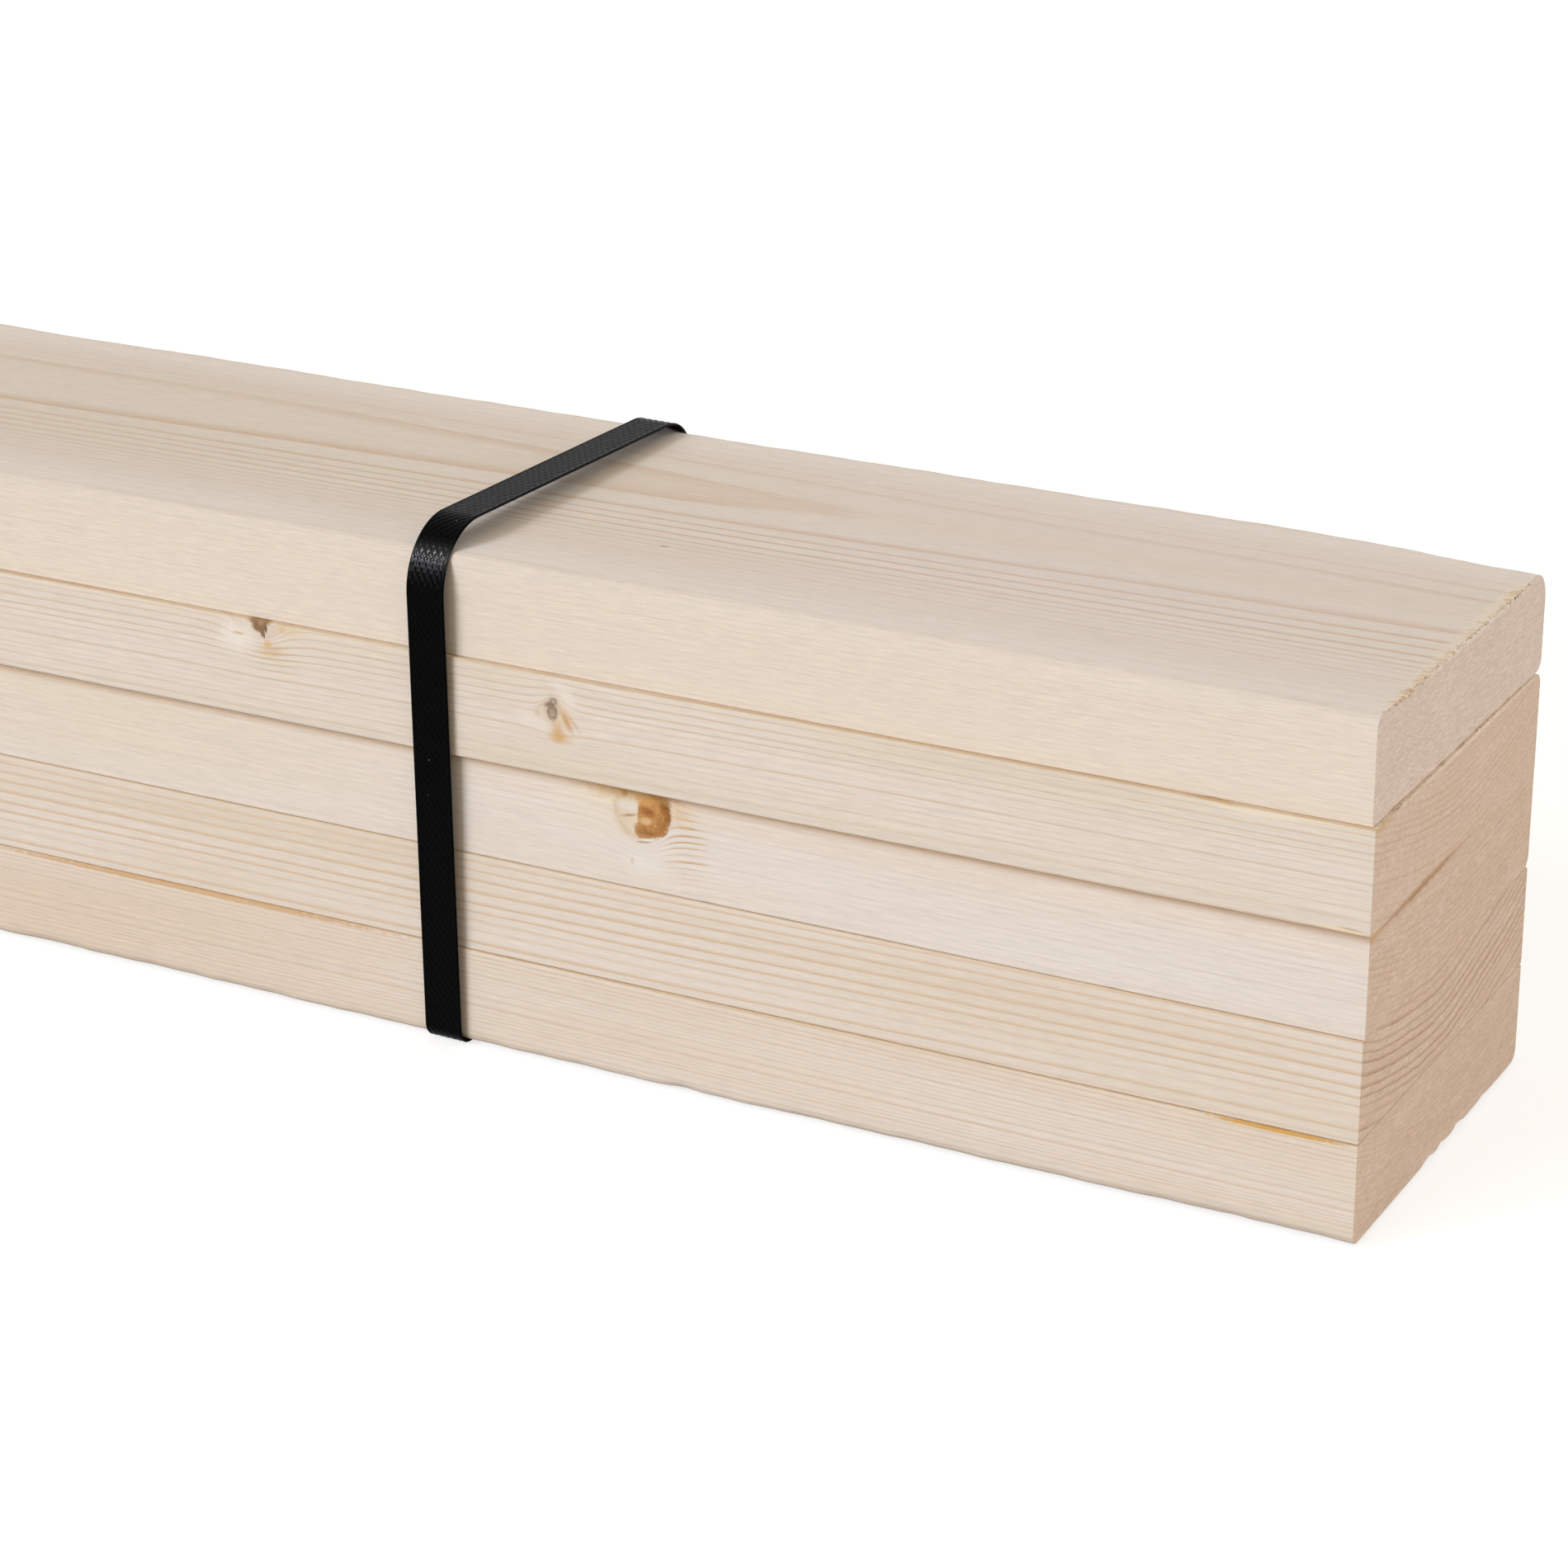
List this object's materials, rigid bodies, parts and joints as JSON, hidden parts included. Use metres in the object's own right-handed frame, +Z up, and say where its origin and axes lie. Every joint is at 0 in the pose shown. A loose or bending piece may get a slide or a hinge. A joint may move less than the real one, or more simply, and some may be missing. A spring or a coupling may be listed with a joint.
{
  "type": "bundle of wooden battens",
  "caption": "Bundle of planed spruce battens lying flat in one column, held by black embossed polypropylene straps near its ends.",
  "frame": {"origin": "middle of the bundle, on the floor under the straps", "axes": "+X along the battens, towards the end that the picture shows; +Y across them, away from the front; +Z up"},
  "size_m": [2.0007, 0.1016, 0.1156],
  "materials": {
    "spruce": "planed, untreated",
    "strap": "embossed, slight sheen"
  },
  "bodies": {
    "root": {"batten_1": "spruce", "batten_2": "spruce", "batten_3": "spruce", "batten_4": "spruce", "batten_5": "spruce", "strap_1": "strap", "strap_2": "strap"}
  },
  "joints": []
}
